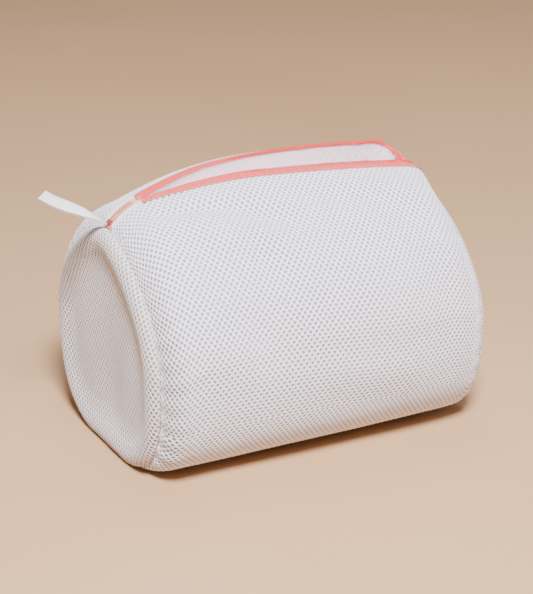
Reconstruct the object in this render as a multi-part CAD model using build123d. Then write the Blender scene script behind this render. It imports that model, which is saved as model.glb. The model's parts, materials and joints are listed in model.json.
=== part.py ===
"""Mesh laundry bag: a barrel of white sandwich mesh with a coral coil zipper along its crown.

Millimetres, +Z up. The origin is on the floor under the middle of the bag, +X runs along the bag
from the closed end of the zipper to the slider's open end, and the front of the bag faces -Y.
Every piece of the zipper is drawn closed, in the upright middle plane, and then turned to where it
stands when the mouth is open.
"""

import os
from math import asin, atan2, cos, degrees, radians, sin, sqrt

from build123d import *

# --- barrel ---------------------------------------------------------------------------------
LENGTH = 206.0  # between the two end seams
WIDTH = 182.0  # widest, at mid length
FABRIC = 3.0  # thickness of the sandwich mesh
LEFT_WIDTH_SCALE = 0.81  # how far the barrel narrows at each end seam
RIGHT_WIDTH_SCALE = 0.86
LEFT_SHOULDER = 10.0  # length over which it narrows
RIGHT_SHOULDER = 24.0
BARREL_BOW = 0.043  # gentle taper from mid length to both ends
TOP_POWER = 1.65  # superellipse power of the tent-like top half
BASE_POWER = 2.96  # and of the fuller lower half
BASE_SINK = 1.5  # how far the lower half is pressed flat on the floor
LEFT_SEAM_TOP = 137.0  # height of the end seams' highest points
RIGHT_SEAM_TOP = 132.5
LEFT_CROWN_DROP = 12.0  # length over which the crown falls to each end seam
RIGHT_CROWN_DROP = 27.0
CROWN_COVER = 0.5  # the fabric's crown lies this far under the coil's centre line
SEAM_GAP = 1.4  # from each end seam back to the sleeve's cut edge
STATIONS = (-101.6, -99.5, -96, -91, -84, -70, -48, -20, 10, 40, 65, 80, 87, 93, 98, 101.6)
OUTLINE_POINTS = 36

# --- end panels and their seams ----------------------------------------------------------------
RIM_DEPTH = 5.5  # puffy rim, outward from the seam
RIM_WIDTH = 12.0
PANEL_INSET = 0.6
BINDING_WIDTH = 8.0  # tape bound over the seam allowance, inside
BINDING_THICK = 1.4
BINDING_INSET = 3.5
SEAM_THREAD_RADIUS = 0.35
SEAM_THREAD_INSET = 1.9

# --- crown line of the closed zipper, at the coils' centres ---------------------------------------
CREST_X = -9.8
CREST_Z = 164.8
LEFT_RADIUS = 230.0  # also the slider's path
RIGHT_RADIUS = 800.0
APEX_X = -85.0  # where the mouth's V begins
LIP_START_X = -81.0
LIP_END_X = 76.0
TAIL_RADIUS = 41.0  # the always-closed stretch bends down to the left seam
TAIL_END_ANGLE = 50.0
LIP_ANGLE = 20.0  # each lip leans out by this when the mouth is open
HINGE_LOW_Z = 105.9  # height of the lips' hinge line under the lip's right end

# --- slot cut through the crown for the zipper ----------------------------------------------------
CUT_MARGIN = 1.0  # clear of the tape's outer edge
CUT_STATIONS = (-60, -25, 15, 50)
CUT_CORNER = ((89, 25.5), (97, 17))  # (x, y) past the lips' right end
CUT_FLOOR_SHARE = 0.6  # of the barrel's height; the cut goes down no further

# --- blunt corner of the mouth, from the lips' right end to the slider ------------------------------
CORNER_LEAD = 1.6  # gap between the lip's coil and the corner's
CORNER_LEAD_DROP = 0.3
CORNER_TURNS = ((84.0, 0.90, 4.0), (88.6, 0.62, 9.5))  # x, share of the lip's spread, drop
CORNER_FOOT = (90.8, 0.36, 0.9)  # x, share of the lip's spread, height over the slider's path
CORNER_MOUTH_Y = 3.2  # where the coil enters the slider
CORNER_MERGE = 2.6  # length inside the slider over which the coils meet
CORNER_TAPE_WIDTHS = ((0.0, 6.0), (0.1, 5.6), (0.2, 5.0), (0.3, 4.0), (0.4, 3.0))

# --- zipper section ---------------------------------------------------------------------------
COIL_RADIUS = 1.2
COIL_BORE = 0.65
CORD_RADIUS = 0.5
COIL_OFFSET = 1.75  # each coil's centre from the middle plane, closed
TAPE_WIDTH = 6.0
TAPE_THICK = 0.6
TAPE_GAP = 0.15
STITCH_RADIUS = 0.25
STITCH_ROW = 4.6  # from the coil's centre, across the tape
STITCH_LIFT = 0.05

# --- slider and pull ---------------------------------------------------------------------------
SLIDER_X = 97.0  # centre of the slider with the bag fully open
SLIDER_LENGTH = 8.6
SLIDER_WIDTH = 7.6
PLATE_GAP = 3.0
TOP_PLATE = 0.9
BASE_PLATE = 0.8
PLATE_NOSE_SHARE = 0.72  # of the width, at the coils' mouth
PLATE_TAIL_SHARE = 0.74
PLATE_SHOULDER = 0.4  # widest point, as a share of the half length
PLATE_CORNER = 0.8
WEB_THICK = 0.7
WEB_LENGTH = 2.6
BAIL_WIDTH = 0.9
BAIL_POST_X = (-1.6, 3.4)
BAIL_RISE = 1.4  # clear height under the bail
BAIL_THICK = 0.7
BAIL_CORNER = 0.56
PULL_PIVOT_X = 1.2
PULL_PIVOT_RISE = 0.7
PULL_PIN_RADIUS = 0.42
PULL_ARM_INNER = 1.4
PULL_WIDTH = 4.4
PULL_THICK = 0.8
PULL_EYE = 3.5
PULL_LENGTH = 11.0
PULL_CORNER = 1.3

# --- tacks and label -----------------------------------------------------------------------------
TACK_LENGTH = 1.4
TACK_WIDTH = 7.0
TACK_THICK = 0.6
TACK_LIFT = 1.3
APEX_TACK_X = -83.6
LEFT_TACK_ANGLE = 46.0
RIGHT_TACK_X = 102.7
LABEL_LENGTH = 48.0
LABEL_WIDTH = 11.0
LABEL_THICK = 0.6
LABEL_RISE_ANGLE = 33.0
LABEL_ROOT = (-103.6, 0.0, 141.6)
LABEL_ROOT_GAP = 1.0

HALF = LENGTH / 2
LEFT_CENTRE_Z = CREST_Z - LEFT_RADIUS
RIGHT_CENTRE_Z = CREST_Z - RIGHT_RADIUS


def path_z(x):
    """Height of the slider's circular path."""
    return LEFT_CENTRE_Z + sqrt(LEFT_RADIUS**2 - (x - CREST_X) ** 2)


def crown_z(x):
    """Height of the closed coil's centre line: one arc each side of the crest."""
    if x < CREST_X:
        return path_z(x)
    return RIGHT_CENTRE_Z + sqrt(RIGHT_RADIUS**2 - (x - CREST_X) ** 2)


def path_angle(x):
    """Slope of the slider's path at x, in degrees, positive where it falls towards +X."""
    return degrees(asin((x - CREST_X) / LEFT_RADIUS))


def shoulder(distance, length):
    """0 away from an end seam, rising to 1 at the seam as a quarter ellipse."""
    a = min(max(1 - distance / length, 0), 1)
    return 1 - sqrt(1 - a * a)


def barrel_width(x):
    left = (1 - LEFT_WIDTH_SCALE) * shoulder(x + HALF, LEFT_SHOULDER)
    right = (1 - RIGHT_WIDTH_SCALE) * shoulder(HALF - x, RIGHT_SHOULDER)
    return WIDTH * (1 - left - right - BARREL_BOW * (x / HALF) ** 2)


def barrel_height(x):
    """Height of the fabric's crown: under the coil, then falling to each end seam."""
    left = max(1 - (x + HALF) / LEFT_CROWN_DROP, 0) ** 2
    right = max(1 - (HALF - x) / RIGHT_CROWN_DROP, 0) ** 2
    left_fall = crown_z(-HALF) - CROWN_COVER - LEFT_SEAM_TOP
    right_fall = crown_z(HALF) - CROWN_COVER - RIGHT_SEAM_TOP
    return crown_z(x) - CROWN_COVER - left_fall * left - right_fall * right


def outline(x, inset=0.0, shape_x=None):
    """Closed cross-section of the barrel at x, moved in by inset. shape_x takes another x's shape."""
    at = x if shape_x is None else shape_x
    half_width = barrel_width(at) / 2
    middle = barrel_height(at) / 2
    points = []
    for i in range(OUTLINE_POINTS):
        turn = radians(360 * i / OUTLINE_POINTS)
        across = abs(cos(turn))
        along = abs(sin(turn))
        top = sin(turn) >= 0
        power = 2 / (TOP_POWER if top else BASE_POWER)
        rise = middle - inset if top else -(middle + BASE_SINK - inset)
        side = 1 if cos(turn) >= 0 else -1
        points.append((x, side * (half_width - inset) * across**power, middle + rise * along**power))
    return Wire([Edge.make_spline([Vector(*p) for p in points], periodic=True)])


def barrel(inset):
    """The barrel as a solid, moved in by inset and pressed flat underneath."""
    sections = [outline(x, inset) for x in STATIONS]
    if inset:
        sections.insert(0, outline(STATIONS[0] - FABRIC, inset, STATIONS[0]))
        sections.append(outline(STATIONS[-1] + FABRIC, inset, STATIONS[-1]))
    body = Solid.make_loft(sections)
    return body - below(inset)


def below(height):
    """Everything under a height."""
    depth = 4 * FABRIC
    return Pos(0, 0, height - depth / 2) * Box(2 * LENGTH, 2 * WIDTH, depth)


def mouth_cut():
    """The slot in the sleeve that the zipper lies in, cut straight down through the crown."""
    spread = COIL_RADIUS + TAPE_WIDTH + CUT_MARGIN
    ends = COIL_OFFSET + spread
    wide = lip_spread(LIP_END_X) + spread
    lips = [(x, lip_spread(x) + spread) for x in CUT_STATIONS]
    side = [(-HALF - CUT_MARGIN, ends), (APEX_X, ends), *lips, (LIP_END_X, wide), *CUT_CORNER]
    side += [(HALF - 2 * CUT_MARGIN, ends + CUT_MARGIN), (HALF + CUT_MARGIN, ends)]
    front = [(x, -y) for x, y in side]
    edges = [Spline(*front), Line(front[-1], side[-1]), Spline(*reversed(side)), Line(side[0], front[0])]
    floor = Plane.XY.offset(barrel_height(0) * CUT_FLOOR_SHARE)
    return extrude(floor * make_face(Curve() + edges), amount=barrel_height(0))


def hinge_slope():
    """Fall of the lips' hinge line, in degrees, from the V's apex towards +X."""
    return degrees(atan2(crown_z(APEX_X) - HINGE_LOW_Z, LIP_END_X - APEX_X))


def hinge_axis():
    slope = radians(hinge_slope())
    return Axis((APEX_X, 0, crown_z(APEX_X)), (cos(slope), 0, -sin(slope)))


def lip_spread(x):
    """How far the open lip's coil stands from the middle plane."""
    line = crown_z(APEX_X) - (x - APEX_X) * sin(radians(hinge_slope())) / cos(radians(hinge_slope()))
    arm = (crown_z(x) - line) * cos(radians(hinge_slope()))
    return COIL_OFFSET * cos(radians(LIP_ANGLE)) + arm * sin(radians(LIP_ANGLE))


def bend(profile, centre_z, radius, start, end, centre_x=CREST_X):
    """Turns a section drawn about the coil's centre line round an arc of the crown, start to end degrees."""
    axis = Axis((centre_x, 0, centre_z), (0, 1, 0))
    face = Pos(centre_x, 0, centre_z + radius) * profile
    return revolve(face.rotate(axis, start), axis=axis, revolution_arc=end - start)


def crown_run(profile):
    """A section run along the whole of a lip, in its closed place."""
    left = bend(profile, LEFT_CENTRE_Z, LEFT_RADIUS, path_angle(LIP_START_X), 0)
    reach = degrees(asin((LIP_END_X - CREST_X) / RIGHT_RADIUS))
    right = bend(profile, RIGHT_CENTRE_Z, RIGHT_RADIUS, 0, reach)
    return left + right


def tail_run(profile, start=None, end=TAIL_END_ANGLE):
    """A section run along the always-closed stretch, from the apex down to the left seam."""
    apex_angle = -path_angle(APEX_X)
    share = TAIL_RADIUS / LEFT_RADIUS
    centre_x = APEX_X + (CREST_X - APEX_X) * share
    centre_z = crown_z(APEX_X) + (LEFT_CENTRE_Z - crown_z(APEX_X)) * share
    first = apex_angle if start is None else start
    return bend(profile, centre_z, TAIL_RADIUS, -end, -first, centre_x)


def coil_profile(side):
    ring = Circle(COIL_RADIUS) - Circle(COIL_BORE)
    return Plane.YZ * (Pos(side * COIL_OFFSET, 0) * ring)


def cord_profile(side):
    return Plane.YZ * (Pos(side * COIL_OFFSET, 0) * Circle(CORD_RADIUS))


def tape_profile(side):
    middle = COIL_OFFSET + COIL_RADIUS + TAPE_GAP + TAPE_WIDTH / 2
    return Plane.YZ * (Pos(side * middle, 0) * Rectangle(TAPE_WIDTH, TAPE_THICK))


def stitch_profile(side):
    lift = TAPE_THICK / 2 + STITCH_RADIUS + STITCH_LIFT
    return Plane.YZ * (Pos(side * (COIL_OFFSET + STITCH_ROW), lift) * Circle(STITCH_RADIUS))


def opened(solid, side):
    """A closed lip piece turned to where it stands with the mouth open. side is -1 front, +1 back."""
    return solid.rotate(hinge_axis(), -side * LIP_ANGLE)


def corner_points(side):
    """Coil centre line round the mouth's blunt right corner and through the slider to the seam."""
    slope = radians(hinge_slope())
    arm = (lip_spread(LIP_END_X) - COIL_OFFSET * cos(radians(LIP_ANGLE))) / sin(radians(LIP_ANGLE))
    drop = arm * (1 - cos(radians(LIP_ANGLE))) * cos(slope)
    lip_z = crown_z(LIP_END_X) - drop
    wide = lip_spread(LIP_END_X)
    mouth_x = SLIDER_X - SLIDER_LENGTH / 2
    foot_x, foot_share, foot_rise = CORNER_FOOT
    shape = [(LIP_END_X + CORNER_LEAD, wide, lip_z - CORNER_LEAD_DROP)]
    shape += [(x, share * wide, lip_z - fall) for x, share, fall in CORNER_TURNS]
    shape.append((foot_x, foot_share * wide, path_z(foot_x) + foot_rise))
    shape.append((mouth_x - TAPE_GAP, CORNER_MOUTH_Y, path_z(mouth_x - TAPE_GAP)))
    for x in (mouth_x + CORNER_MERGE, SLIDER_X + 1, HALF + TAPE_GAP):
        shape.append((x, COIL_OFFSET, path_z(x)))
    return [Vector(x, side * y, z) for x, y, z in shape]


def corner_coil(side):
    path = Edge.make_spline(corner_points(side))
    start = Plane(origin=path.position_at(0), z_dir=path.tangent_at(0))
    return sweep(start * Circle(COIL_RADIUS), path=path)


def corner_tape(side):
    """Narrowing strip of tape outside the corner's coil, down to the slider's mouth."""
    path = Edge.make_spline(corner_points(side))
    sections = []
    for share, width in CORNER_TAPE_WIDTHS:
        point = path.position_at(share)
        tangent = path.tangent_at(share)
        outward = Vector(-side * tangent.Y, side * tangent.X, 0).normalized()
        inner = point + outward * (COIL_RADIUS + 3 * TAPE_GAP)
        outer = inner + outward * width
        lift = Vector(0, 0, TAPE_THICK / 2)
        corners = [inner - lift, outer - lift, outer + lift, inner + lift]
        sections.append(Wire.make_polygon(corners, close=True))
    return Solid.make_loft(sections, ruled=True)


def sleeve():
    return barrel(0) - barrel(FABRIC) - mouth_cut()


def end_panel(side):
    """Disc with a puffy rim standing outward round a flat, dished middle."""
    x = side * HALF
    disc = extrude(Face(outline(x, PANEL_INSET)), amount=RIM_DEPTH, dir=(side, 0, 0))
    dish = extrude(Face(outline(x + side * FABRIC, RIM_WIDTH, x)), amount=RIM_DEPTH, dir=(side, 0, 0))
    return disc - dish - below(0)


def seam_binding(side):
    """Tape bound round the seam allowance inside the bag."""
    x = side * (HALF - SEAM_GAP)
    outer = Face(outline(x, BINDING_INSET, side * HALF))
    inner = Face(outline(x, BINDING_INSET + BINDING_THICK, side * HALF))
    ring = extrude(outer - inner, amount=BINDING_WIDTH, dir=(-side, 0, 0))
    return ring - below(FABRIC + PANEL_INSET)


def seam_thread(side):
    """Lockstitch ring lying in the groove between sleeve and end panel."""
    x = side * (HALF - SEAM_GAP / 2)
    path = outline(x, SEAM_THREAD_INSET, side * HALF)
    start = Plane(origin=path.position_at(0), z_dir=path.tangent_at(0))
    return sweep(start * Circle(SEAM_THREAD_RADIUS), path=path)


def on_slider(shape):
    """Places a slider piece, drawn about the coil's centre line, at the open end of its path."""
    return Pos(SLIDER_X, 0, path_z(SLIDER_X)) * Rot(0, path_angle(SLIDER_X), 0) * shape


def slider_body():
    """Two plates joined by the thin wedge that parts the coils."""
    top_z = PLATE_GAP / 2 + TOP_PLATE / 2
    base_z = -PLATE_GAP / 2 - BASE_PLATE / 2
    top = Pos(0, 0, top_z) * extrude(Pos(0, 0, -TOP_PLATE / 2) * plate_outline(), amount=TOP_PLATE)
    base = Pos(0, 0, base_z) * extrude(Pos(0, 0, -BASE_PLATE / 2) * plate_outline(), amount=BASE_PLATE)
    web_x = -SLIDER_LENGTH / 2 + WEB_LENGTH / 2
    web = Pos(web_x, 0, 0) * Box(WEB_LENGTH, WEB_THICK, PLATE_GAP)
    return on_slider(top + base + web)


def plate_outline():
    """Slider plate seen from above: rounded, narrower at its tail."""
    nose = SLIDER_LENGTH / 2
    wide = SLIDER_WIDTH / 2
    outline_edges = Polyline(
        (-nose, -PLATE_NOSE_SHARE * wide),
        (-PLATE_SHOULDER * nose, -wide),
        (nose, -PLATE_TAIL_SHARE * wide),
        (nose, PLATE_TAIL_SHARE * wide),
        (-PLATE_SHOULDER * nose, wide),
        (-nose, PLATE_NOSE_SHARE * wide),
        close=True,
    )
    return fillet(make_face(outline_edges).vertices(), radius=PLATE_CORNER)


def slider_bail():
    """Arch on the top plate that holds the pull."""
    floor = PLATE_GAP / 2 + TOP_PLATE
    low, high = BAIL_POST_X
    span = high - low + BAIL_WIDTH
    arch = Pos((low + high) / 2, 0, floor + (BAIL_RISE + BAIL_THICK) / 2) * Box(
        span, BAIL_WIDTH, BAIL_RISE + BAIL_THICK
    )
    window = Box(span - 2 * BAIL_WIDTH, SLIDER_WIDTH, BAIL_RISE)
    gap = Pos((low + high) / 2, 0, floor + BAIL_RISE / 2) * window
    ends = arch.edges().filter_by(Axis.Y).group_by(Axis.Z)[-1]
    return on_slider(fillet(ends, radius=BAIL_CORNER) - gap)


def pull_tab():
    """Flat tab whose eye goes round the bail, with a pin across under the arch."""
    pivot_z = PLATE_GAP / 2 + TOP_PLATE + PULL_PIVOT_RISE
    centre = PULL_LENGTH / 2 - PULL_THICK / 2
    tab = Pos(centre, 0, 0) * RectangleRounded(PULL_LENGTH, PULL_WIDTH, PULL_CORNER)
    eye = Pos(PULL_EYE / 2 - PULL_THICK, 0, 0) * Rectangle(PULL_EYE + PULL_THICK, 2 * PULL_ARM_INNER)
    blade = extrude(Pos(0, 0, -PULL_THICK / 2) * (tab - eye), amount=PULL_THICK)
    pin = Rot(90, 0, 0) * Cylinder(PULL_PIN_RADIUS, 2 * PULL_ARM_INNER + 2 * PULL_THICK)
    return on_slider(Pos(PULL_PIVOT_X, 0, pivot_z) * (blade + pin))


def tack_profile(lift=TACK_LIFT):
    return Plane.YZ * (Pos(0, lift + TACK_THICK / 2) * Rectangle(TACK_WIDTH, TACK_THICK))


def apex_tack():
    """Bar of thread across both coils where the V begins."""
    half_turn = degrees(TACK_LENGTH / 2 / LEFT_RADIUS)
    middle = path_angle(APEX_TACK_X)
    return bend(tack_profile(), LEFT_CENTRE_Z, LEFT_RADIUS, middle - half_turn, middle + half_turn)


def left_end_tack():
    """Dark thread patch holding the coil's end in the left seam."""
    half_turn = degrees(TACK_LENGTH / TAIL_RADIUS)
    return tail_run(tack_profile(), LEFT_TACK_ANGLE - half_turn, LEFT_TACK_ANGLE + half_turn)


def right_end_tack():
    """Bar of thread across the coil's end at the right seam."""
    bar = Pos(0, 0, TACK_LIFT + TACK_THICK / 2) * Box(TACK_LENGTH, TACK_WIDTH, TACK_THICK)
    return Pos(RIGHT_TACK_X, 0, path_z(RIGHT_TACK_X)) * Rot(0, path_angle(RIGHT_TACK_X), 0) * bar


def care_label():
    """Folded ribbon sewn into the left seam, standing up and away from the bag."""
    strip = Pos(-LABEL_ROOT_GAP - LABEL_LENGTH / 2, 0, 0) * Box(LABEL_LENGTH, LABEL_WIDTH, LABEL_THICK)
    return Pos(*LABEL_ROOT) * Rot(0, LABEL_RISE_ANGLE, 0) * strip


def both(make):
    """A front and a back copy of the same piece, as two solids."""
    return Compound(children=[make(-1), make(1)])


def build_nodes():
    nodes = {
        "body_panel": sleeve(),
        "left_end_panel": end_panel(-1),
        "right_end_panel": end_panel(1),
        "left_seam_binding": seam_binding(-1),
        "right_seam_binding": seam_binding(1),
        "left_seam_thread": seam_thread(-1),
        "right_seam_thread": seam_thread(1),
        "closed_end_coils": both(lambda side: tail_run(coil_profile(side))),
        "closed_end_tapes": both(lambda side: tail_run(tape_profile(side))),
        "corner_coils": both(corner_coil),
        "corner_tapes": both(corner_tape),
        "apex_tack": apex_tack(),
        "left_end_tack": left_end_tack(),
        "right_end_tack": right_end_tack(),
        "slider_body": slider_body(),
        "slider_bail": slider_bail(),
        "pull_tab": pull_tab(),
        "care_label": care_label(),
    }
    for name, side in (("front", -1), ("back", 1)):
        nodes[f"{name}_coil"] = opened(crown_run(coil_profile(side)), side)
        nodes[f"{name}_coil_cord"] = opened(crown_run(cord_profile(side)), side)
        nodes[f"{name}_zip_tape"] = opened(crown_run(tape_profile(side)), side)
        nodes[f"{name}_topstitch"] = opened(crown_run(stitch_profile(side)), side)
    return nodes


os.makedirs("parts", exist_ok=True)
for node, shape in build_nodes().items():
    export_step(shape, os.path.join("parts", f"{node}.step"))
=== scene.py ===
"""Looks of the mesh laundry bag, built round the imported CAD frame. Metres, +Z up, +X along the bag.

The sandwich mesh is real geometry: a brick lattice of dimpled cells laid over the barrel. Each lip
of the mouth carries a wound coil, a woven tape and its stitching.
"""

import json
import math

import bpy
import numpy as np
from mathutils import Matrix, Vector


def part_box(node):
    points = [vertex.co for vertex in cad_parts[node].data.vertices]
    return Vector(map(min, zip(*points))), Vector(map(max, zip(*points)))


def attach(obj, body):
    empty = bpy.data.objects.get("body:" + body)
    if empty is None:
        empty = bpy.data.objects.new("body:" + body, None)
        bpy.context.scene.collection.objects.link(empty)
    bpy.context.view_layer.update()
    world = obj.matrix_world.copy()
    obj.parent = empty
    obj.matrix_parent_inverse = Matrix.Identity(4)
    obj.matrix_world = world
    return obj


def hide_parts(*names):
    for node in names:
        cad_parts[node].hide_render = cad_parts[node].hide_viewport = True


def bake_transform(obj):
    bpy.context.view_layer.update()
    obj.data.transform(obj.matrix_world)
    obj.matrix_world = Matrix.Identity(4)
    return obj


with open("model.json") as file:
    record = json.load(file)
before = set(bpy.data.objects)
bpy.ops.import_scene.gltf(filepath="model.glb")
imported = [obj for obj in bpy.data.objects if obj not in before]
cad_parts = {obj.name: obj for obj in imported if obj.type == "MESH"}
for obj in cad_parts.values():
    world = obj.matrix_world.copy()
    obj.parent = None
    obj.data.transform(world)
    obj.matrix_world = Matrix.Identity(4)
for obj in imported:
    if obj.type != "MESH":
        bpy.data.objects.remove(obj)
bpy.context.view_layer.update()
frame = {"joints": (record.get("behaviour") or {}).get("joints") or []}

MM = 0.001
FRONT, BACK = -1, 1
SIDES = ((FRONT, "front"), (BACK, "back"))

# --- sizes read from the frame ---
SLEEVE_LOW, SLEEVE_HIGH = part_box("body_panel")
LEFT_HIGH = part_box("left_end_panel")[1]
RIGHT_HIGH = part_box("right_end_panel")[1]
HALF = -LEFT_HIGH[0]
WIDTH = SLEEVE_HIGH[1] - SLEEVE_LOW[1]
PANEL_INSET = 0.6 * MM
LEFT_TOP = LEFT_HIGH[2] + PANEL_INSET
RIGHT_TOP = RIGHT_HIGH[2] + PANEL_INSET
JOINTS = {joint["name"]: joint for joint in frame["joints"]}
PATH_CENTRE = np.array(JOINTS["slider_travel"]["pos_m"])
LIP_HINGE = np.array(JOINTS["back_lip_close"]["pos_m"])
LIP_AXIS = np.array(JOINTS["back_lip_close"]["axis"])
LIP_ANGLE = math.radians(JOINTS["back_lip_close"]["range_deg"][1])

# --- shape of the barrel ---
FABRIC = 3.0 * MM
LEFT_NARROW, RIGHT_NARROW = 0.19, 0.14
LEFT_SHOULDER, RIGHT_SHOULDER = 10.0 * MM, 24.0 * MM
LEFT_FALL, RIGHT_FALL = 12.0 * MM, 27.0 * MM
BOW = 0.043
TOP_POWER, BASE_POWER = 1.65, 2.96
BASE_SINK = 1.5 * MM
CROWN_COVER = 0.5 * MM
FLOOR_LIFT = 0.15 * MM

# --- crown line of the closed zipper, its tail at the left seam and its slider at the right ---
CREST_X = PATH_CENTRE[0]
LEFT_RADIUS, RIGHT_RADIUS = 230.0 * MM, 800.0 * MM
CREST_Z = PATH_CENTRE[2] + LEFT_RADIUS
COIL_OFFSET = 1.75 * MM
APEX_X = LIP_HINGE[0]
LIP_END_X = 76.0 * MM
TAIL_RADIUS = 41.0 * MM
TAIL_END = math.radians(49.0)
SLIDER_X, SLIDER_NOSE_X = 97.0 * MM, 92.7 * MM
COIL_END_X = 100.8 * MM

# --- sandwich mesh: cells of each half of the sleeve, then one cell's shape ---
COLUMNS, UPPER_ROWS, LOWER_ROWS = 67, 68, 46
CUT_SHARE = 0.6
PITCH = (3.32 * MM, 2.34 * MM)
HOLE_SHARE = (0.23, 0.47)
FLOOR_SHARE = 0.72
LAND_RISE, EDGE_RISE, HOLE_DEPTH = 0.48 * MM, 0.16 * MM, 1.0 * MM
# Share of painted shade in the colour of hole rims, hole floors, cut edges and the lining behind the holes.
RIM_SHADE, FLOOR_SHADE, EDGE_SHADE, LINING_SHADE = 0.35, 1.0, 0.3, 0.45
LINING = (40, 56)

# --- mouth: how slack cloth leaves the ideal arc, as (x, move in y, move in z), and its right corner ---
DRIFT = {
    FRONT: ((-104, 0, -1.7), (-85, 0, -1.7), (-60, 0, -1.6), (-20, 0, -1.3), (30, 0, -1.4), (76, -2.8, -1.9)),
    BACK: ((-104, 0, -1.7), (-85, 0, -1.7), (-65, 0, -1.1), (-40, 0, -0.2), (30, 0, 0.1), (76, 0.8, 0.0)),
}
CORNER = {
    FRONT: ((84.0, 17.8, 153.6), (89.8, 15.4, 150.4), (92.6, 10.4, 146.4), (93.3, 5.8, 143.2)),
    BACK: (
        (80, 20.3, 156.6), (86, 20.6, 155.4), (91.4, 19.2, 153.2),
        (95.0, 15.6, 150.2), (96.4, 10.8, 146.6), (95.6, 6.6, 143.4),
    ),
}
CLOSED_REACH, LIP_REACH = 2.6 * MM, 4.2 * MM

# --- sleeve: how the hem's height fades down the side, and how its ends roll into the seams ---
HEM_FALLOFF = 26.0 * MM
SEAM_SLIT, SEAM_DEPTH = 0.25 * MM, 4.2 * MM
SAMPLES_ALONG, SAMPLES_ROUND = 331, 420
END_CROWDING = 0.28

# --- rolls and dents: x in metres, place from hem to base, their two radii and height in millimetres ---
DENTS = {
    FRONT: (
        (-0.024, 0.120, 0.017, 0.045, -4.2),
        (-0.058, 0.070, 0.020, 0.026, -2.8),
        (-0.052, 0.170, 0.012, 0.060, 2.2),
        (-0.034, 0.230, 0.012, 0.060, -2.0),
        (0.022, 0.090, 0.028, 0.035, -1.3),
        (0.060, 0.160, 0.018, 0.060, -2.2),
        (-0.086, 0.180, 0.012, 0.120, 1.2),
        (0.030, 0.300, 0.034, 0.080, 1.4),
        (-0.050, 0.400, 0.022, 0.080, -2.0),
        (0.076, 0.360, 0.016, 0.090, -2.0),
        (0.010, 0.520, 0.040, 0.060, 1.4),
    ),
    BACK: (
        (0.020, 0.130, 0.028, 0.060, -1.8),
        (-0.060, 0.200, 0.022, 0.070, -1.6),
        (0.072, 0.260, 0.020, 0.090, -1.4),
        (-0.020, 0.330, 0.034, 0.080, 1.5),
        (-0.080, 0.380, 0.016, 0.080, -1.1),
    ),
}
DENT_SCALE = 1.55

# --- end panels: (inset, outward) along the puffy rim, and what lies in the seam ---
RIM_KNOTS = (
    (3.6, -0.15), (1.7, 0.1), (0.5, 1.1), (0.9, 3.2), (3.4, 5.3),
    (7.0, 6.2), (11.5, 5.6), (17.5, 3.7), (25, 2.6),
)
PANEL_BACK_INSET = 4.4 * MM
BINDING_INSET, BINDING_THICK, BINDING_REACH = 4.0 * MM, 1.3 * MM, 10.0 * MM
SEAM_THREAD_INSET, SEAM_THREAD_RADIUS = 2.7 * MM, 0.42 * MM
LOWEST = 0.5 * MM

# --- zipper, threads and label ---
COIL_PITCH, COIL_WIRE, COIL_STEPS = 1.2 * MM, 0.34 * MM, 14
COIL_RADIUS, CLOSED_COIL_RADIUS, CORE_RADIUS = 0.84 * MM, 0.86 * MM, 0.46 * MM
TAPE_FOOT, TAPE_HALF_THICK = 1.1, 0.2
TAPE_NET_EDGE = (5.9, 6.9)
TACK_WIDTH, TACK_PASSES, TACK_PITCH, TACK_WIRE, TACK_RISE = 5.6 * MM, 9, 0.32 * MM, 0.24 * MM, 0.7 * MM
LABEL_LENGTH, LABEL_WIDTH = 44.0 * MM, 8.2 * MM
LABEL_RISE, LABEL_TWIST = math.radians(33.0), math.radians(40.0)
LABEL_FOOT = np.array(JOINTS["label_fold"]["pos_m"]) - [0, 0, 2.6 * MM]
LABEL_AHEAD = np.array([-math.cos(LABEL_RISE), 0.0, math.sin(LABEL_RISE)])

# --- where cloth turns from following the bag to following its own body; only the names are read, not the points ---
LIP_BEND = ((0, 0, 138.0 * MM), (0, 0, 153.0 * MM))
LABEL_BEND = (tuple(LABEL_FOOT), tuple(LABEL_FOOT + LABEL_AHEAD * 8.0 * MM))
BENDS = {"front_lip": LIP_BEND, "back_lip": LIP_BEND, "label": LABEL_BEND}

# --- camera ---
YAW, LIFT, DISTANCE = 27.6, 21.4, 1.2
LOOK_AT = (-0.003, 0.0, 0.080)


def crown_z(x):
    """Height of the closed coil's centre line at x."""
    right = CREST_Z - RIGHT_RADIUS + np.sqrt(RIGHT_RADIUS**2 - (x - CREST_X) ** 2)
    return np.where(x < CREST_X, path_z(x), right)


def path_z(x):
    """Height of the slider's arc at x."""
    return PATH_CENTRE[2] + np.sqrt(LEFT_RADIUS**2 - (x - CREST_X) ** 2)


def shoulder(distance, length):
    a = np.clip(1 - distance / length, 0, 1)
    return 1 - np.sqrt(1 - a * a)


def barrel_width(x):
    left = LEFT_NARROW * shoulder(x + HALF, LEFT_SHOULDER)
    right = RIGHT_NARROW * shoulder(HALF - x, RIGHT_SHOULDER)
    return WIDTH * (1 - left - right - BOW * (x / HALF) ** 2)


def barrel_height(x):
    left = np.clip(1 - (x + HALF) / LEFT_FALL, 0, 1) ** 2
    right = np.clip(1 - (HALF - x) / RIGHT_FALL, 0, 1) ** 2
    left_drop = crown_z(-HALF) - CROWN_COVER - LEFT_TOP
    right_drop = crown_z(HALF) - CROWN_COVER - RIGHT_TOP
    return crown_z(x) - CROWN_COVER - left_drop * left - right_drop * right


def half_section(x, count=721):
    """Points (y, z) of the barrel at x, from the crown down one side to the middle of the base."""
    turn = np.linspace(math.pi / 2, -math.pi / 2, count)
    across = np.abs(np.cos(turn))
    along = np.abs(np.sin(turn))
    top = turn >= 0
    power = np.where(top, 2 / TOP_POWER, 2 / BASE_POWER)
    middle = barrel_height(x) / 2
    rise = np.where(top, middle, -(middle + BASE_SINK))
    y = barrel_width(x) / 2 * across**power
    z = middle + rise * along**power
    return y, np.maximum(z, FLOOR_LIFT)


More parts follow.
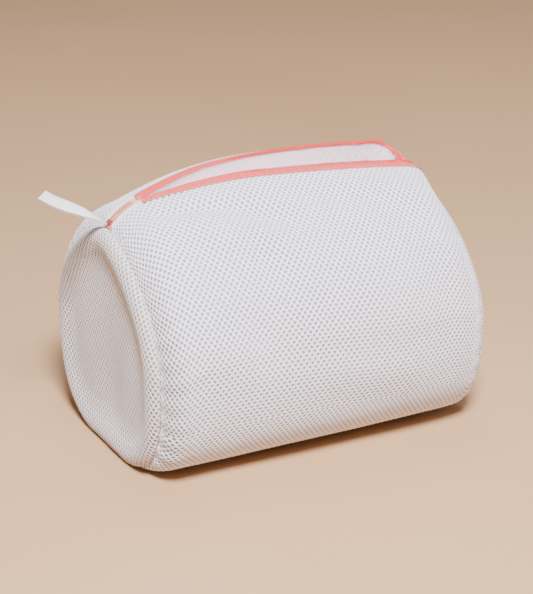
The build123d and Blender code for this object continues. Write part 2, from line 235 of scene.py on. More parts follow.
# --- mesh helpers ---
def add_mesh(name, verts, faces, pattern=None, painted_shade=None):
    """A smooth mesh object from arrays. pattern holds (along, across) in metres; the painted shade share runs
    0 to 1.
    """
    mesh = bpy.data.meshes.new(name)
    mesh.from_pydata([tuple(map(float, v)) for v in verts], [], [tuple(map(int, f)) for f in faces])
    mesh.update()
    if pattern is not None:
        flat = np.pad(np.asarray(pattern, np.float32), ((0, 0), (0, 1)))
        mesh.attributes.new("pattern", "FLOAT_VECTOR", "POINT").data.foreach_set("vector", flat.ravel())
    if painted_shade is not None:
        mesh.attributes.new("painted_shade", "FLOAT", "POINT").data.foreach_set("value", np.asarray(painted_shade, np.float32))
    mesh.polygons.foreach_set("use_smooth", [True] * len(mesh.polygons))
    obj = bpy.data.objects.new(name, mesh)
    bpy.context.scene.collection.objects.link(obj)
    return obj


def join_parts(parts):
    """Stacks parts of (verts, faces, then any arrays with a row for each vertex) into one."""
    faces, base = [], 0
    for part in parts:
        faces += [tuple(i + base for i in face) for face in part[1]]
        base += len(part[0])
    verts, _, *arrays = zip(*parts)
    return np.vstack(verts), faces, *(np.concatenate(array) for array in arrays)


def unit(v):
    return v / np.maximum(np.linalg.norm(v, axis=-1, keepdims=True), 1e-12)


def square_to(hint, tangent):
    """The part of each hint that is square to its tangent, as a unit direction."""
    return unit(hint - np.sum(hint * tangent, axis=1, keepdims=True) * tangent)


def run_length(points):
    """Distance along a line of points, from its first one."""
    return np.concatenate([[0], np.cumsum(np.linalg.norm(np.diff(points, axis=0), axis=1))])


def full_turn(count):
    return np.linspace(0, 2 * math.pi, count, endpoint=False)


def flipped(faces, when=True):
    return [face[::-1] for face in faces] if when else faces


def grid_faces(rows, columns, wrap=False):
    """Quads of a rows by columns vertex grid; wrap closes it round the columns."""
    faces = []
    last = columns if wrap else columns - 1
    for r in range(rows - 1):
        for c in range(last):
            d = (c + 1) % columns
            faces.append((r * columns + c, r * columns + d, (r + 1) * columns + d, (r + 1) * columns + c))
    return faces


def capped_faces(rows, count):
    """Quads of a tube of closed rows, and a cap on its first and last row."""
    last = (rows - 1) * count
    return grid_faces(rows, count, wrap=True) + [tuple(range(count))[::-1], tuple(range(last, last + count))]


def ring_faces(rows, count):
    """Quads of a tube of closed rows whose last row meets its first."""
    last = (rows - 1) * count
    closing = [(last + c, last + (c + 1) % count, (c + 1) % count, c) for c in range(count)]
    return grid_faces(rows, count, wrap=True) + closing


def path_frames(points, hint):
    """Outward and up directions along a path; hint is roughly outward at each point."""
    tangent = unit(np.gradient(points, axis=0))
    outward = square_to(hint, tangent)
    return outward, np.cross(tangent, outward)


def swept(points, outward, up, section):
    """Sweeps a closed section of (out, up) offsets along a path. Returns verts, faces, pattern."""
    section = np.asarray(section, float)
    if section.ndim == 2:
        section = np.broadcast_to(section, (len(points),) + section.shape)
    ring = points[:, None] + outward[:, None] * section[..., :1] + up[:, None] * section[..., 1:]
    steps = np.linalg.norm(np.diff(section, axis=1), axis=2)
    across = np.concatenate([np.zeros((len(points), 1)), np.cumsum(steps, axis=1)], axis=1)
    run = np.broadcast_to(run_length(points)[:, None], across.shape)
    pattern = np.stack([run, across], -1).reshape(-1, 2)
    return ring.reshape(-1, 3), capped_faces(len(points), section.shape[1]), pattern


# --- the lattice of mesh cells ---
class Sheet:
    """A curved sheet sampled on a fine grid, read at any (u, v) with an offset along its normal.

    u is the share of length along the sheet's middle, whatever the spacing of the rows.
    """

    def __init__(self, points):
        self.points = points
        run = run_length(points[:, points.shape[1] // 2])
        self.shares = run / run[-1]
        self.normals = unit(np.cross(np.gradient(points, axis=0), np.gradient(points, axis=1)))
        steps = np.linalg.norm(np.diff(points, axis=1), axis=2)
        self.across = np.concatenate([np.zeros((len(points), 1)), np.cumsum(steps, axis=1)], axis=1)

    def read(self, table, u, v):
        rows, columns = table.shape[:2]
        a = np.interp(np.clip(u, 0, 1), self.shares, np.arange(rows))
        b = np.clip(v, 0, 1) * (columns - 1)
        i = np.minimum(a.astype(int), rows - 2)
        j = np.minimum(b.astype(int), columns - 2)
        fa, fb = (a - i), (b - j)
        if table.ndim == 3:
            fa, fb = fa[:, None], fb[:, None]
        low = table[i, j] * (1 - fb) + table[i, j + 1] * fb
        high = table[i + 1, j] * (1 - fb) + table[i + 1, j + 1] * fb
        return low * (1 - fa) + high * fa

    def at(self, u, v, height):
        return self.read(self.points, u, v) + self.read(self.normals, u, v) * np.reshape(height, (-1, 1))

    def pattern(self, u, v):
        length = run_length(self.points[:, 0])[-1]
        return np.stack([u * length, self.read(self.across, u, v)], -1)


def lattice(columns, rows, keep=None):
    """Brick lattice of dimpled cells: (u, v), height and painted shade share of each vertex, and faces.

    keep(u, v) of a cell's middle tells whether the cell is wanted.
    """
    us, vs, hs, painted_shades, faces = [], [], [], [], []
    index = {}

    def corner(half_u, half_v):
        key = (half_u, half_v)
        if key not in index:
            index[key] = len(us)
            us.append(half_u / (2 * columns))
            vs.append(half_v / (2 * rows))
            hs.append(LAND_RISE if half_v % 2 else EDGE_RISE)
            painted_shades.append(0.0)
        return index[key]

    for j in range(rows):
        low, mid, high = 2 * j, 2 * j + 1, 2 * j + 2
        first = j % 2
        if first and keep is None:
            for a, b in ((0, 1), (2 * columns - 1, 2 * columns)):
                ring = [(a, low), (b, low), (b, mid), (b, high), (a, high), (a, mid)]
                faces.append(tuple(corner(x, y) for x, y in ring))
        for i in range(columns - first):
            a = 2 * i + first
            b, c = a + 1, a + 2
            if keep is not None and not keep(b / (2 * columns), mid / (2 * rows)):
                continue
            ring = [(a, low), (b, low), (c, low), (c, mid), (c, high), (b, high), (a, high), (a, mid)]
            rings = [[corner(x, y) for x, y in ring]]
            for share, height, painted_shade in ((1.0, 0.0, RIM_SHADE), (FLOOR_SHARE, -HOLE_DEPTH, FLOOR_SHADE)):
                rings.append(list(range(len(us), len(us) + 8)))
                for k in range(8):
                    angle = math.radians(225 + 45 * k)
                    us.append((b / 2 + HOLE_SHARE[0] * share * math.cos(angle)) / columns)
                    vs.append((mid / 2 + HOLE_SHARE[1] * share * math.sin(angle)) / rows)
                    hs.append(height)
                    painted_shades.append(painted_shade)
            for near, far in zip(rings, rings[1:]):
                for k in range(8):
                    d = (k + 1) % 8
                    faces.append((near[k], near[d], far[d], far[k]))
            faces.append(tuple(rings[-1]))
    return np.array(us), np.array(vs), np.array(hs), np.array(painted_shades), faces


def mesh_cloth(sheet, rows, flip):
    """Face knit with its holes, lining behind it, and the cut edges between, as one closed piece."""
    u, v, height, painted_shade, faces = lattice(COLUMNS, rows)
    sign = -1 if flip else 1
    parts = [(sheet.at(u, v, sign * height), flipped(faces, flip), sheet.pattern(u, v), painted_shade)]
    u, v = (grid.ravel() for grid in np.meshgrid(*(np.linspace(0, 1, n) for n in LINING), indexing="ij"))
    back = sheet.at(u, v, -sign * (FABRIC - HOLE_DEPTH))
    faces = flipped(grid_faces(*LINING), not flip)
    parts.append((back, faces, sheet.pattern(u, v), np.full(len(u), LINING_SHADE)))
    length = run_length(sheet.points[:, 0])[-1]
    levels = (EDGE_RISE, -0.9 * MM, -(FABRIC - HOLE_DEPTH))
    for along_v, value in ((True, 0.0), (True, 1.0), (False, 0.0), (False, 1.0)):
        count = 2 * (rows if along_v else COLUMNS) + 1
        run, fixed = np.linspace(0, 1, count), np.full(count, value)
        u, v = (fixed, run) if along_v else (run, fixed)
        verts = np.vstack([sheet.at(u, v, sign * level) for level in levels])
        pattern = np.vstack([np.stack([run * length, np.full(count, level)], -1) for level in levels])
        faces = flipped(grid_faces(len(levels), count), (along_v == (value == 0.0)) != flip)
        parts.append((verts, faces, pattern, np.full(len(verts), EDGE_SHADE)))
    return join_parts(parts)


# --- the mouth's path, drawn for the back (+Y) side ---
def turned(points, angle):
    """Points turned about the back lip's hinge line."""
    axis = unit(LIP_AXIS)
    arm = points - LIP_HINGE
    along = (arm @ axis)[:, None] * axis
    return LIP_HINGE + along + (arm - along) * math.cos(angle) + np.cross(axis, arm) * math.sin(angle)


def curve_through(knots, count):
    """Points along a smooth curve through the knots, evenly spaced."""
    knots = np.asarray(knots, float)
    chord = run_length(knots)
    slope = np.gradient(knots, chord, axis=0)
    t = np.linspace(0, chord[-1], count)
    i = np.clip(np.searchsorted(chord, t, side="right") - 1, 0, len(knots) - 2)
    h = (chord[i + 1] - chord[i])[:, None]
    s = ((t - chord[i]) / h[:, 0])[:, None]
    a = (1 + 2 * s) * (1 - s) ** 2 * knots[i] + s**2 * (3 - 2 * s) * knots[i + 1]
    return a + h * (s * (1 - s) ** 2 * slope[i] - s**2 * (1 - s) * slope[i + 1])


def respaced(points, step):
    run = run_length(points)
    at = np.linspace(0, run[-1], max(int(round(run[-1] / step)), 2) + 1)
    return np.stack([np.interp(at, run, column) for column in points.T], axis=1)


def eased(points, radius):
    """Takes small kinks out of evenly spaced points with a running mean; both ends stay put."""
    before, after = points[radius:0:-1], points[-2 : -radius - 2 : -1]
    padded = np.vstack([2 * points[0] - before, points, 2 * points[-1] - after])
    kernel = np.hanning(2 * radius + 3)[1:-1]
    kernel /= kernel.sum()
    out = np.stack([np.convolve(column, kernel, mode="valid") for column in padded.T], axis=1)
    out[0], out[-1] = points[0], points[-1]
    return out


def mouth_path(side):
    """Centre line of one coil, mouth open, from the left seam to the slider's tail, drawn at +Y."""
    share = TAIL_RADIUS / LEFT_RADIUS
    centre_x = APEX_X + (CREST_X - APEX_X) * share
    centre_z = crown_z(APEX_X) + (PATH_CENTRE[2] - crown_z(APEX_X)) * share
    turn = np.linspace(TAIL_END, -math.asin((APEX_X - CREST_X) / LEFT_RADIUS), 30)
    x, z = centre_x - TAIL_RADIUS * np.sin(turn), centre_z + TAIL_RADIUS * np.cos(turn)
    tail = np.stack([x, np.full(len(x), COIL_OFFSET), z], axis=1)
    dive = tail[0] + np.array([(0.7, 0, -3.6), (-0.1, 0, -2.4), (-0.25, 0, -1.2)]) * MM
    x = np.linspace(APEX_X, LIP_END_X, 170)[1:]
    lip = turned(np.stack([x, np.full(len(x), COIL_OFFSET), crown_z(x)], axis=1), -LIP_ANGLE)
    open_run = np.vstack([dive, tail, lip])
    at, across, down = np.array(DRIFT[side]).T * MM
    open_run[:, 1] += np.interp(open_run[:, 0], at, across)
    open_run[:, 2] += np.interp(open_run[:, 0], at, down)
    nose = SLIDER_NOSE_X + 1.2 * MM
    knots = [open_run[-8], open_run[-1]] + [np.array(knot) * MM for knot in CORNER[side]]
    for knot_x, y in ((nose, 3.0 * MM), (nose + 2.2 * MM, COIL_OFFSET), (HALF, COIL_OFFSET)):
        knots.append((knot_x, y, path_z(knot_x)))
    whole = np.vstack([open_run[:-8], curve_through(knots, 110)])
    return eased(respaced(whole, 0.6 * MM), 5)


def mouth_outward(path):
    """Direction away from the mouth at each point of its path, sloping down as the lips lean."""
    tangent = unit(np.gradient(path, axis=0))
    level = unit(np.stack([-tangent[:, 1], np.abs(tangent[:, 0]) + 0.15, 0 * path[:, 0]], axis=1))
    level[:, 2] = -np.interp(path[:, 1], [2 * MM, 12 * MM], [0.05, math.sin(LIP_ANGLE)])
    return unit(level)


MOUTH = {side: mouth_path(side) for side in (FRONT, BACK)}
MOUTH_OUT = {side: mouth_outward(path) for side, path in MOUTH.items()}


def hem_line(side):
    """Edge of the fabric along one side of the mouth."""
    path = MOUTH[side]
    opening = np.interp(path[:, 0], np.array([-84, -78, 90, 95]) * MM, [0, 1, 1, 0])
    reach = CLOSED_REACH + (LIP_REACH - CLOSED_REACH) * opening
    line = path + MOUTH_OUT[side] * reach[:, None]
    line[:, 0] = np.maximum.accumulate(line[:, 0])
    return line


HEM = {side: hem_line(side) for side in (FRONT, BACK)}


# --- the sleeve ---
def bulge(x, v, side):
    """Soft rolls and dents of stuffed fabric, along the outward normal. v runs from the hem to the base."""
    wave = 1.1 * np.sin(x / 0.029 + 1.3 * side + 2.2 * v) * np.sin(4.1 * v + 0.7 + 0.5 * side)
    wave += 0.55 * np.sin(x / 0.015 - 6.0 * v + 2.0 * side) * np.cos(8.0 * v + side)
    for sx, sv, rx, rv, height in DENTS[side]:
        slant = 0.5 * rx / rv * (v - sv)
        wave += height * np.exp(-(((x - sx - slant) / rx) ** 2) - ((v - sv) / rv) ** 2)
    inside = HALF - np.abs(x)
    fade = np.clip(inside / (14 * MM), 0, 1) * np.clip(v / 0.06, 0, 1) * np.clip((0.80 - v) / 0.16, 0, 1)
    pucker = 0.30 * np.sin(v * 118 + 3 * side) * np.exp(-((inside / (9 * MM)) ** 2))
    pucker *= np.clip(v / 0.05, 0, 1) * np.clip((0.8 - v) / 0.1, 0, 1)
    return (wave * DENT_SCALE * fade + pucker) * MM


def sleeve_sheet(side):
    """Sampled surface of one half of the sleeve: rows along X, columns from the hem to the base's middle."""
    even = np.linspace(-1, 1, SAMPLES_ALONG)
    xs = (HALF - SEAM_SLIT) * ((1 - END_CROWDING) * even + END_CROWDING * np.sin(even * math.pi / 2))
    points = np.zeros((len(xs), SAMPLES_ROUND, 3))
    hem_x, hem_ys, hem_zs = HEM[side].T
    for i, x in enumerate(xs):
        y, z = half_section(x)
        hem_y, hem_z = np.interp(x, hem_x, hem_ys), np.interp(x, hem_x, hem_zs)
        half = len(y) // 2
        first = np.searchsorted(y[:half], hem_y)
        start_z = np.interp(hem_y, y[:half], z[:half])
        cut = np.stack([np.append(hem_y, y[first:]), np.append(start_z, z[first:])], axis=1)
        run = run_length(cut)
        at = np.linspace(0, run[-1], SAMPLES_ROUND)
        fall = np.clip(1 - at / HEM_FALLOFF, 0, 1)
        points[i, :, 0] = x
        points[i, :, 1] = side * np.interp(at, run, cut[:, 0])
        points[i, :, 2] = np.interp(at, run, cut[:, 1]) + (hem_z - start_z) * fall * fall * (3 - 2 * fall)
    grid_x, grid_v = np.meshgrid(xs, np.linspace(0, 1, SAMPLES_ROUND), indexing="ij")
    points = points + Sheet(points).normals * (side * bulge(grid_x, grid_v, side))[..., None]
    points = np.concatenate([rolled_in(points[0], -1)[::-1], points, rolled_in(points[-1], 1)])
    points[..., 2] = np.maximum(points[..., 2], FLOOR_LIFT + 0.35 * MM)
    return points


def rolled_in(edge, end):
    """Extra rows that carry a sheet's end edge down into the seam."""
    inward = unit(np.array([edge[0, 0], 0.0, edge[:, 2].max() / 2]) - edge)
    rows = []
    for depth in np.linspace(0.5 * MM, SEAM_DEPTH, 6):
        rows.append(edge + inward * depth + [end * SEAM_SLIT * 0.8 * depth / SEAM_DEPTH, 0.0, 0.0])
    return np.array(rows)


# --- end panels ---
class Panel:
    """One end panel: a flat disc of cloth whose rim rolls over into the seam."""

    def __init__(self, side):
        self.side = side
        y, z = half_section(side * HALF)
        self.centre_z = (z.max() + z.min()) / 2
        angle = np.arctan2(z - self.centre_z, y)
        order = np.argsort(angle)
        self.angle, self.radius = angle[order], np.hypot(y, z - self.centre_z)[order]
        rim = curve_through(np.array(RIM_KNOTS) * MM, 80)
        self.run, self.inset, self.out = run_length(rim), rim[:, 0], rim[:, 1]
        self.extra = self.run[-1] - self.inset[-1]

    def reach(self, cy, cz):
        """Radius of the panel's outline towards a cloth point."""
        return np.interp(np.arctan2(cz, np.abs(cy)), self.angle, self.radius)

    def at(self, cy, cz):
        """Surface point of a cloth point (cy, cz), measured from the panel's middle."""
        reach = self.reach(cy, cz)
        span = np.maximum(np.hypot(cy, cz), 1e-9)
        run = np.maximum(reach + self.extra - span, 0)
        inset = np.where(run >= self.run[-1], run - self.extra, np.interp(run, self.run, self.inset))
        out = np.interp(run, self.run, self.out)
        sag = self.folds(cy, cz) * np.clip((run - 6 * MM) / (16 * MM), 0, 1)
        share = np.maximum(reach - inset, 0) / span
        return np.stack([self.side * (HALF + out + sag), cy * share, self.centre_z + cz * share], axis=1)

    def folds(self, cy, cz):
        """Standing folds and hollows of the slack disc, outward."""
        y = -self.side * cy
        fold = 1.5 * np.exp(-(((y + 0.030 + 0.25 * cz) / 0.012) ** 2)) * np.clip(0.5 - cz / 0.09, 0, 1)
        fold -= 2.2 * np.exp(-(((y + 0.008) / 0.022) ** 2) - ((cz + 0.036) / 0.030) ** 2)
        fold += 1.0 * np.exp(-(((y - 0.034) / 0.018) ** 2) - ((cz - 0.008) / 0.044) ** 2)
        fold += 0.35 * np.sin(cy / 0.013 + cz / 0.030) * np.cos(cz / 0.021)
        return fold * MM

    def raised(self, cy, cz, height):
        step = 0.4 * MM
        across = self.at(cy + step, cz) - self.at(cy - step, cz)
        along = self.at(cy, cz + step) - self.at(cy, cz - step)
        normal = unit(np.cross(across, along)) * self.side
        return self.at(cy, cz) + normal * height[:, None]

    def cloth(self):
        """Lattice face with its back, as one piece."""
        half_y = self.radius[np.abs(self.angle) < 1.2].max() + self.extra + 2 * MM
        half_z = self.radius.max() + self.extra

        def spread(u, v):
            return (u - 0.5) * 2 * half_y, (v - 0.5) * 2 * half_z

        def inside(u, v):
            cy, cz = spread(u, v)
            return math.hypot(cy, cz) < self.reach(cy, cz) + self.extra + 0.5 * MM

        columns, rows = int(round(2 * half_y / PITCH[0])), int(round(2 * half_z / PITCH[1]))
        u, v, height, painted_shade, faces = lattice(columns, rows, inside)
        cy, cz = spread(u, v)
        limit = self.reach(cy, cz) + self.extra - 0.1 * MM
        held = np.minimum(1, limit / np.maximum(np.hypot(cy, cz), 1e-9))
        cy, cz = cy * held, cz * held
        verts = self.raised(cy, cz, np.where(held < 1, 0, height))
        parts = [(verts, flipped(faces, self.side < 0), np.stack([cy, cz], -1), painted_shade)]
        rings, turns = 9, 96
        turn = full_turn(turns)
        back = []
        for r in range(rings):
            span = (self.reach(np.cos(turn), np.sin(turn)) - PANEL_BACK_INSET) * (1 - r / (rings - 0.5))
            x = self.side * (HALF - (0.2 if r else 0.6) * MM)
            z = np.maximum(self.centre_z + span * np.sin(turn), LOWEST)
            back.append(np.stack([np.full(turns, x), span * np.cos(turn), z], axis=1))
        back = np.vstack(back)
        faces = grid_faces(rings, turns, wrap=True) + [tuple(range((rings - 1) * turns, rings * turns))]
        parts.append((back, flipped(faces, self.side < 0), back[:, 1:], np.full(len(back), LINING_SHADE)))
        return join_parts(parts)

    def loop(self, inset, count):
        """Closed loop in the seam's plane, inset from the panel's outline, and its outward hints."""
        turn = full_turn(count)
        span = self.reach(np.cos(turn), np.sin(turn)) - inset
        z = np.maximum(self.centre_z + span * np.sin(turn), 0.6 * MM)
        loop = np.stack([np.zeros(count), span * np.cos(turn), z], axis=1)
        return loop, loop - [0, 0, self.centre_z]


# --- wound and sewn shapes ---
def tube(points, radius, outward, sides=6):
    out, up = path_frames(points, outward)
    turn = full_turn(sides)
    return swept(points, out, up, np.stack([np.cos(turn), np.sin(turn)], axis=1) * radius)


def wound(points, outward, radius):
    """Wire wound round a path."""
    path = respaced(np.hstack([points, outward]), COIL_PITCH / COIL_STEPS)
    points = path[:, :3]
    out, up = path_frames(points, path[:, 3:])
    turn = (np.arange(len(points)) * 2 * math.pi / COIL_STEPS)[:, None]
    centre = points + out * np.cos(turn) * radius + up * np.sin(turn) * radius * 0.92
    return tube(centre, COIL_WIRE, out * np.cos(turn) + up * np.sin(turn))


def dashes(points, outward, rise, length, gap, radius):
    """A row of stitches: short threads whose ends dip into the cloth."""
    step = 0.3 * MM
    path = respaced(np.hstack([points, outward]), step)
    points = path[:, :3]
    out, up = path_frames(points, path[:, 3:])
    each, pause = int(round(length / step)), int(round(gap / step))
    arch = rise + (np.sin(np.linspace(0, math.pi, each + 1))[:, None] ** 0.5 - 1) * radius * 1.8
    parts = []
    for start in range(1, len(points) - each, each + pause):
        rows = slice(start, start + each + 1)
        parts.append(tube(points[rows] + up[rows] * arch, radius, out[rows]))
    return join_parts(parts)


def rounded_strip(width, thick):
    turn = full_turn(16)
    x = np.sign(np.cos(turn)) * np.abs(np.cos(turn)) ** 0.6
    return np.stack([x * width / 2, np.sin(turn) * thick / 2], axis=1)


# --- materials ---
def tint(screen):
    """A linear colour from 0-255 screen values."""
    return tuple(((c / 255 + 0.055) / 1.055) ** 2.4 for c in screen) + (1.0,)


class Shader:
    """A small helper for building one node material."""

    def __init__(self, name):
        self.material = bpy.data.materials.new(name)
        self.material.use_nodes = True
        self.tree = self.material.node_tree

    def put(self, socket, value):
        if isinstance(value, bpy.types.NodeSocket):
            self.tree.links.new(value, socket)
        else:
            socket.default_value = value

    def node(self, kind, inputs, output=0, **props):
        made = self.tree.nodes.new(kind)
        for key, value in props.items():
            setattr(made, key, value)
        for key, value in inputs.items():
            self.put(made.inputs[key], value)
        return made.outputs[output]

    def set(self, **values):
        """Puts values and links on the surface, and returns the material."""
        for key, value in values.items():
            self.put(self.tree.nodes["Principled BSDF"].inputs[key.replace("_", " ")], value)
        return self.material

    def attribute(self, name, output):
        return self.node("ShaderNodeAttribute", {}, output, attribute_name=name)

    def pattern(self, x=1.0, y=1.0):
        """Cloth coordinates in millimetres, stretched by x along and y across."""
        sized = {0: self.attribute("pattern", "Vector"), 1: (1000 * x, 1000 * y, 1000)}
        return self.node("ShaderNodeVectorMath", sized, operation="MULTIPLY")

    def place(self):
        return self.node("ShaderNodeTexCoord", {}, "Object")

    def wave(self, vector, scale, direction, distortion):
        inputs = {"Vector": vector, "Scale": scale, "Distortion": distortion, "Detail": 1.0}
        return self.node("ShaderNodeTexWave", inputs, "Fac", bands_direction=direction)

    def weave(self, x=1.0, y=1.0):
        """Ribs across a tape and picks along it."""
        vector = self.pattern(x, y)
        return self.wave(vector, 0.9, "X", 0.25), self.wave(vector, 1.5, "Y", 0.4)

    def noise(self, vector, scale, detail=3.0, rough=0.55):
        inputs = {"Vector": vector, "Scale": scale, "Detail": detail, "Roughness": rough}
        return self.node("ShaderNodeTexNoise", inputs, "Fac")

    def times(self, a, b):
        return self.node("ShaderNodeMath", {0: a, 1: b}, operation="MULTIPLY")

    def plus(self, a, b):
        return self.node("ShaderNodeMath", {0: a, 1: b}, operation="ADD")

    def between(self, value, low, high, start=0.0, end=1.0):
        inputs = {"Value": value, "From Min": start, "From Max": end, "To Min": low, "To Max": high}
        return self.node("ShaderNodeMapRange", inputs)

    def mix(self, fac, a, b, share=None):
        """Colour b laid over a by fac, or by that share of it."""
        fac = self.times(fac, share) if share else fac
        return self.node("ShaderNodeMix", {"Factor": fac, "A": a, "B": b}, "Result", data_type="RGBA")

    def bump(self, height, distance, strength, under=None):
        inputs = {"Height": height, "Distance": distance, "Strength": strength}
        if under is not None:
            inputs["Normal"] = under
        return self.node("ShaderNodeBump", inputs, "Normal")


def sandwich_mesh(name, ridge, hollow_shade, shade):
    """Knitted spacer mesh: bright ridges, hollows greyed with painted shade, fine diagonal yarn."""
    s = Shader(name)
    # Painted shade: the per-vertex shade share turns the ridge colour into the shaded hollow colour.
    base = s.mix(s.between(s.attribute("painted_shade", "Fac"), 0.0, 1.0, 0.22, 0.50), ridge, hollow_shade)
    base = s.mix(s.noise(s.place(), 26.0), base, shade, 0.42)
    yarn = s.wave(s.pattern(1.9, 2.4), 0.9, "DIAGONAL", 1.4)
    fuzz = s.noise(s.pattern(), 2.6, 4.0, 0.7)
    base = s.mix(yarn, base, hollow_shade, 0.10)
    normal = s.bump(fuzz, 0.16 * MM, 0.5, s.bump(yarn, 0.12 * MM, 0.5))
    s.set(Sheen_Weight=0.25, Sheen_Roughness=0.5)
    return s.set(Base_Color=base, Roughness=s.between(fuzz, 0.38, 0.7), Normal=normal)


def woven(name, colour, shade, stretch=(0.8, 0.8), depth=0.24, glow=0.0):
    """Woven tape: ribs across and picks along, with uneven dye."""
    s = Shader(name)
    ribs, picks = s.weave(*stretch)
    dye = s.noise(s.pattern(0.35, 0.35), 1.0, 4.0)
    base = s.mix(s.times(ribs, picks), s.mix(dye, colour, shade, 0.6), shade, depth)
    fuzz = s.noise(s.pattern(), 5.0, 3.0)
    normal = s.bump(fuzz, 0.06 * MM, 0.4, s.bump(s.plus(ribs, picks), 0.10 * MM, 0.7))
    s.set(Sheen_Weight=0.2, Subsurface_Weight=glow, Subsurface_Scale=1.0 * MM)
    return s.set(Base_Color=base, Roughness=s.between(fuzz, 0.58, 0.82), Normal=normal)


def lip_tape(name, band, face, shade):
    """Woven tape, dyed deep on its outer band and pale on the face that hangs inside."""
    s = Shader(name)
    across = s.node("ShaderNodeSeparateXYZ", {0: s.pattern()}, "Y")
    ribs, picks = s.weave(0.9)
    dye = s.noise(s.pattern(0.35, 0.35), 1.0, 4.0)
    pucker = s.wave(s.pattern(1.0, 0.5), 0.12, "DIAGONAL", 1.2)
    # Band colour: uneven dye, plus painted shade in the folds of its puckers.
    outer = s.mix(s.plus(dye, pucker), band, shade, 0.42)
    net = s.times(s.wave(s.pattern(), 0.2, "DIAGONAL", 0.3), s.wave(s.pattern(-1.0), 0.2, "DIAGONAL", 0.3))
    base = s.mix(s.between(across, 0.0, 1.0, *TAPE_NET_EDGE), outer, s.mix(net, face, shade, 0.30))
    base = s.mix(s.times(ribs, picks), base, shade, 0.30)
    fuzz = s.noise(s.pattern(), 5.0, 3.0)
    normal = s.bump(fuzz, 0.06 * MM, 0.4, s.bump(s.plus(ribs, picks), 0.12 * MM, 0.7))
    normal = s.bump(s.plus(pucker, net), 0.45 * MM, 0.6, normal)
    s.set(Sheen_Weight=0.2, Subsurface_Weight=0.1, Subsurface_Scale=1.0 * MM)
    return s.set(Base_Color=base, Roughness=s.between(fuzz, 0.42, 0.68), Normal=normal)


def nylon(name, colour, shade, rough=0.28):
    """Drawn nylon wire: smooth, a little translucent, with streaks along it."""
    s = Shader(name)
    streak = s.noise(s.pattern(0.3, 2.5), 2.0, 3.0)
    base = s.mix(streak, colour, shade, 0.55)
    s.set(Subsurface_Weight=0.12, Subsurface_Scale=0.8 * MM)
    normal = s.bump(streak, 0.05 * MM, 0.35)
    return s.set(Base_Color=base, Roughness=s.between(streak, rough, rough + 0.24), Normal=normal)


def spun(name, colour, shade):
    """Twisted sewing thread."""
    s = Shader(name)
    twist = s.wave(s.pattern(1.0, 1.6), 1.3, "DIAGONAL", 0.5)
    base = s.mix(s.plus(twist, s.noise(s.place(), 180.0, 2.0)), colour, shade, 0.35)
    return s.set(Base_Color=base, Roughness=0.62, Normal=s.bump(twist, 0.10 * MM, 0.8), Sheen_Weight=0.3)


def satin(name, colour, shade):
    """Label satin: fine warp, soft gloss."""
    s = Shader(name)
    warp = s.wave(s.pattern(0.2, 3.0), 1.4, "Y", 0.6)
    weft = s.wave(s.pattern(3.0, 0.3), 1.1, "X", 0.4)
    cloud = s.noise(s.place(), 90.0, 3.0)
    base = s.mix(warp, s.mix(cloud, colour, shade, 0.5), shade, 0.12)
    s.set(Sheen_Weight=0.15, Anisotropic=0.5, Subsurface_Weight=0.08, Subsurface_Scale=1.0 * MM)
    normal = s.bump(s.plus(warp, weft), 0.05 * MM, 0.5)
    return s.set(Base_Color=base, Roughness=s.between(cloud, 0.28, 0.5), Normal=normal)


def enamel(name, colour, shade):
    """Paint baked on cast zinc: glossy, faintly orange-peeled, unevenly worn."""
    s = Shader(name)
    peel = s.noise(s.place(), 900.0, 3.0)
    wear = s.noise(s.place(), 260.0, 5.0)
    s.set(Metallic=0.15, Coat_Weight=0.5, Normal=s.bump(peel, 0.05 * MM, 0.3))
    return s.set(Base_Color=s.mix(wear, colour, shade, 0.5), Roughness=s.between(wear, 0.22, 0.42))


def paper(name, colour, shade):
    """Matt studio paper with faint clouds."""
    s = Shader(name)
    cloud = s.noise(s.place(), 2.4, 3.0)
    grain = s.noise(s.place(), 420.0, 2.0)
    return s.set(Base_Color=s.mix(cloud, colour, shade), Roughness=0.85, Normal=s.bump(grain, 0.3 * MM, 0.1))


def finish_of(kind, name, slot, *colours, **values):
    """A material of one kind from screen colours, and the record's slot it stands for."""
    return kind(name, *map(tint, colours), **values), slot


OFF_WHITE, OFF_WHITE_SHADE = (240, 238, 238), (205, 200, 204)
WHITE_MESH = finish_of(
    sandwich_mesh, "mesh_white", "white_mesh", (252, 250, 255), (132, 122, 146), (230, 224, 238)
)
# Painted shade: the end panels get a darker, warmer copy of the white mesh, standing for the shade they sit
# in and the backdrop seen through them.
SHADED_PANEL_MESH = finish_of(
    sandwich_mesh, "mesh_panel_shaded", "white_mesh", (232, 225, 226), (142, 133, 138), (202, 192, 194)
)
BINDING = finish_of(woven, "binding_white", "white_binding", OFF_WHITE, OFF_WHITE_SHADE)
TAPE = finish_of(
    woven, "tape_coral", "coral_tape", (242, 176, 162), (222, 132, 120),
    stretch=(0.9, 1.0), depth=0.4, glow=0.08,
)
LIP_TAPE = finish_of(lip_tape, "tape_lip", "coral_tape", (246, 84, 68), (253, 234, 242), (226, 66, 60))
COIL = finish_of(nylon, "coil_coral", "coral_coil", (232, 66, 58), (206, 46, 46))
CLOSED_COIL = finish_of(nylon, "coil_closed", "coral_coil", (246, 170, 140), (222, 120, 98), rough=0.4)
CORD = finish_of(spun, "cord_coral", "coral_cord", (225, 120, 108), (188, 80, 74))
WHITE_THREAD = finish_of(spun, "thread_white", "white_thread", (242, 240, 240), OFF_WHITE_SHADE)
CORAL_THREAD = finish_of(spun, "thread_coral", "coral_thread", (242, 132, 120), (214, 92, 86))
DARK_THREAD = finish_of(spun, "thread_dark", "dark_red_thread", (176, 34, 40), (120, 18, 26))
RIBBON = finish_of(satin, "ribbon_white", "label_ribbon", (246, 244, 242), (216, 210, 210))
ENAMEL = finish_of(enamel, "enamel_coral", "coral_enamel", (206, 66, 62), (160, 36, 38))


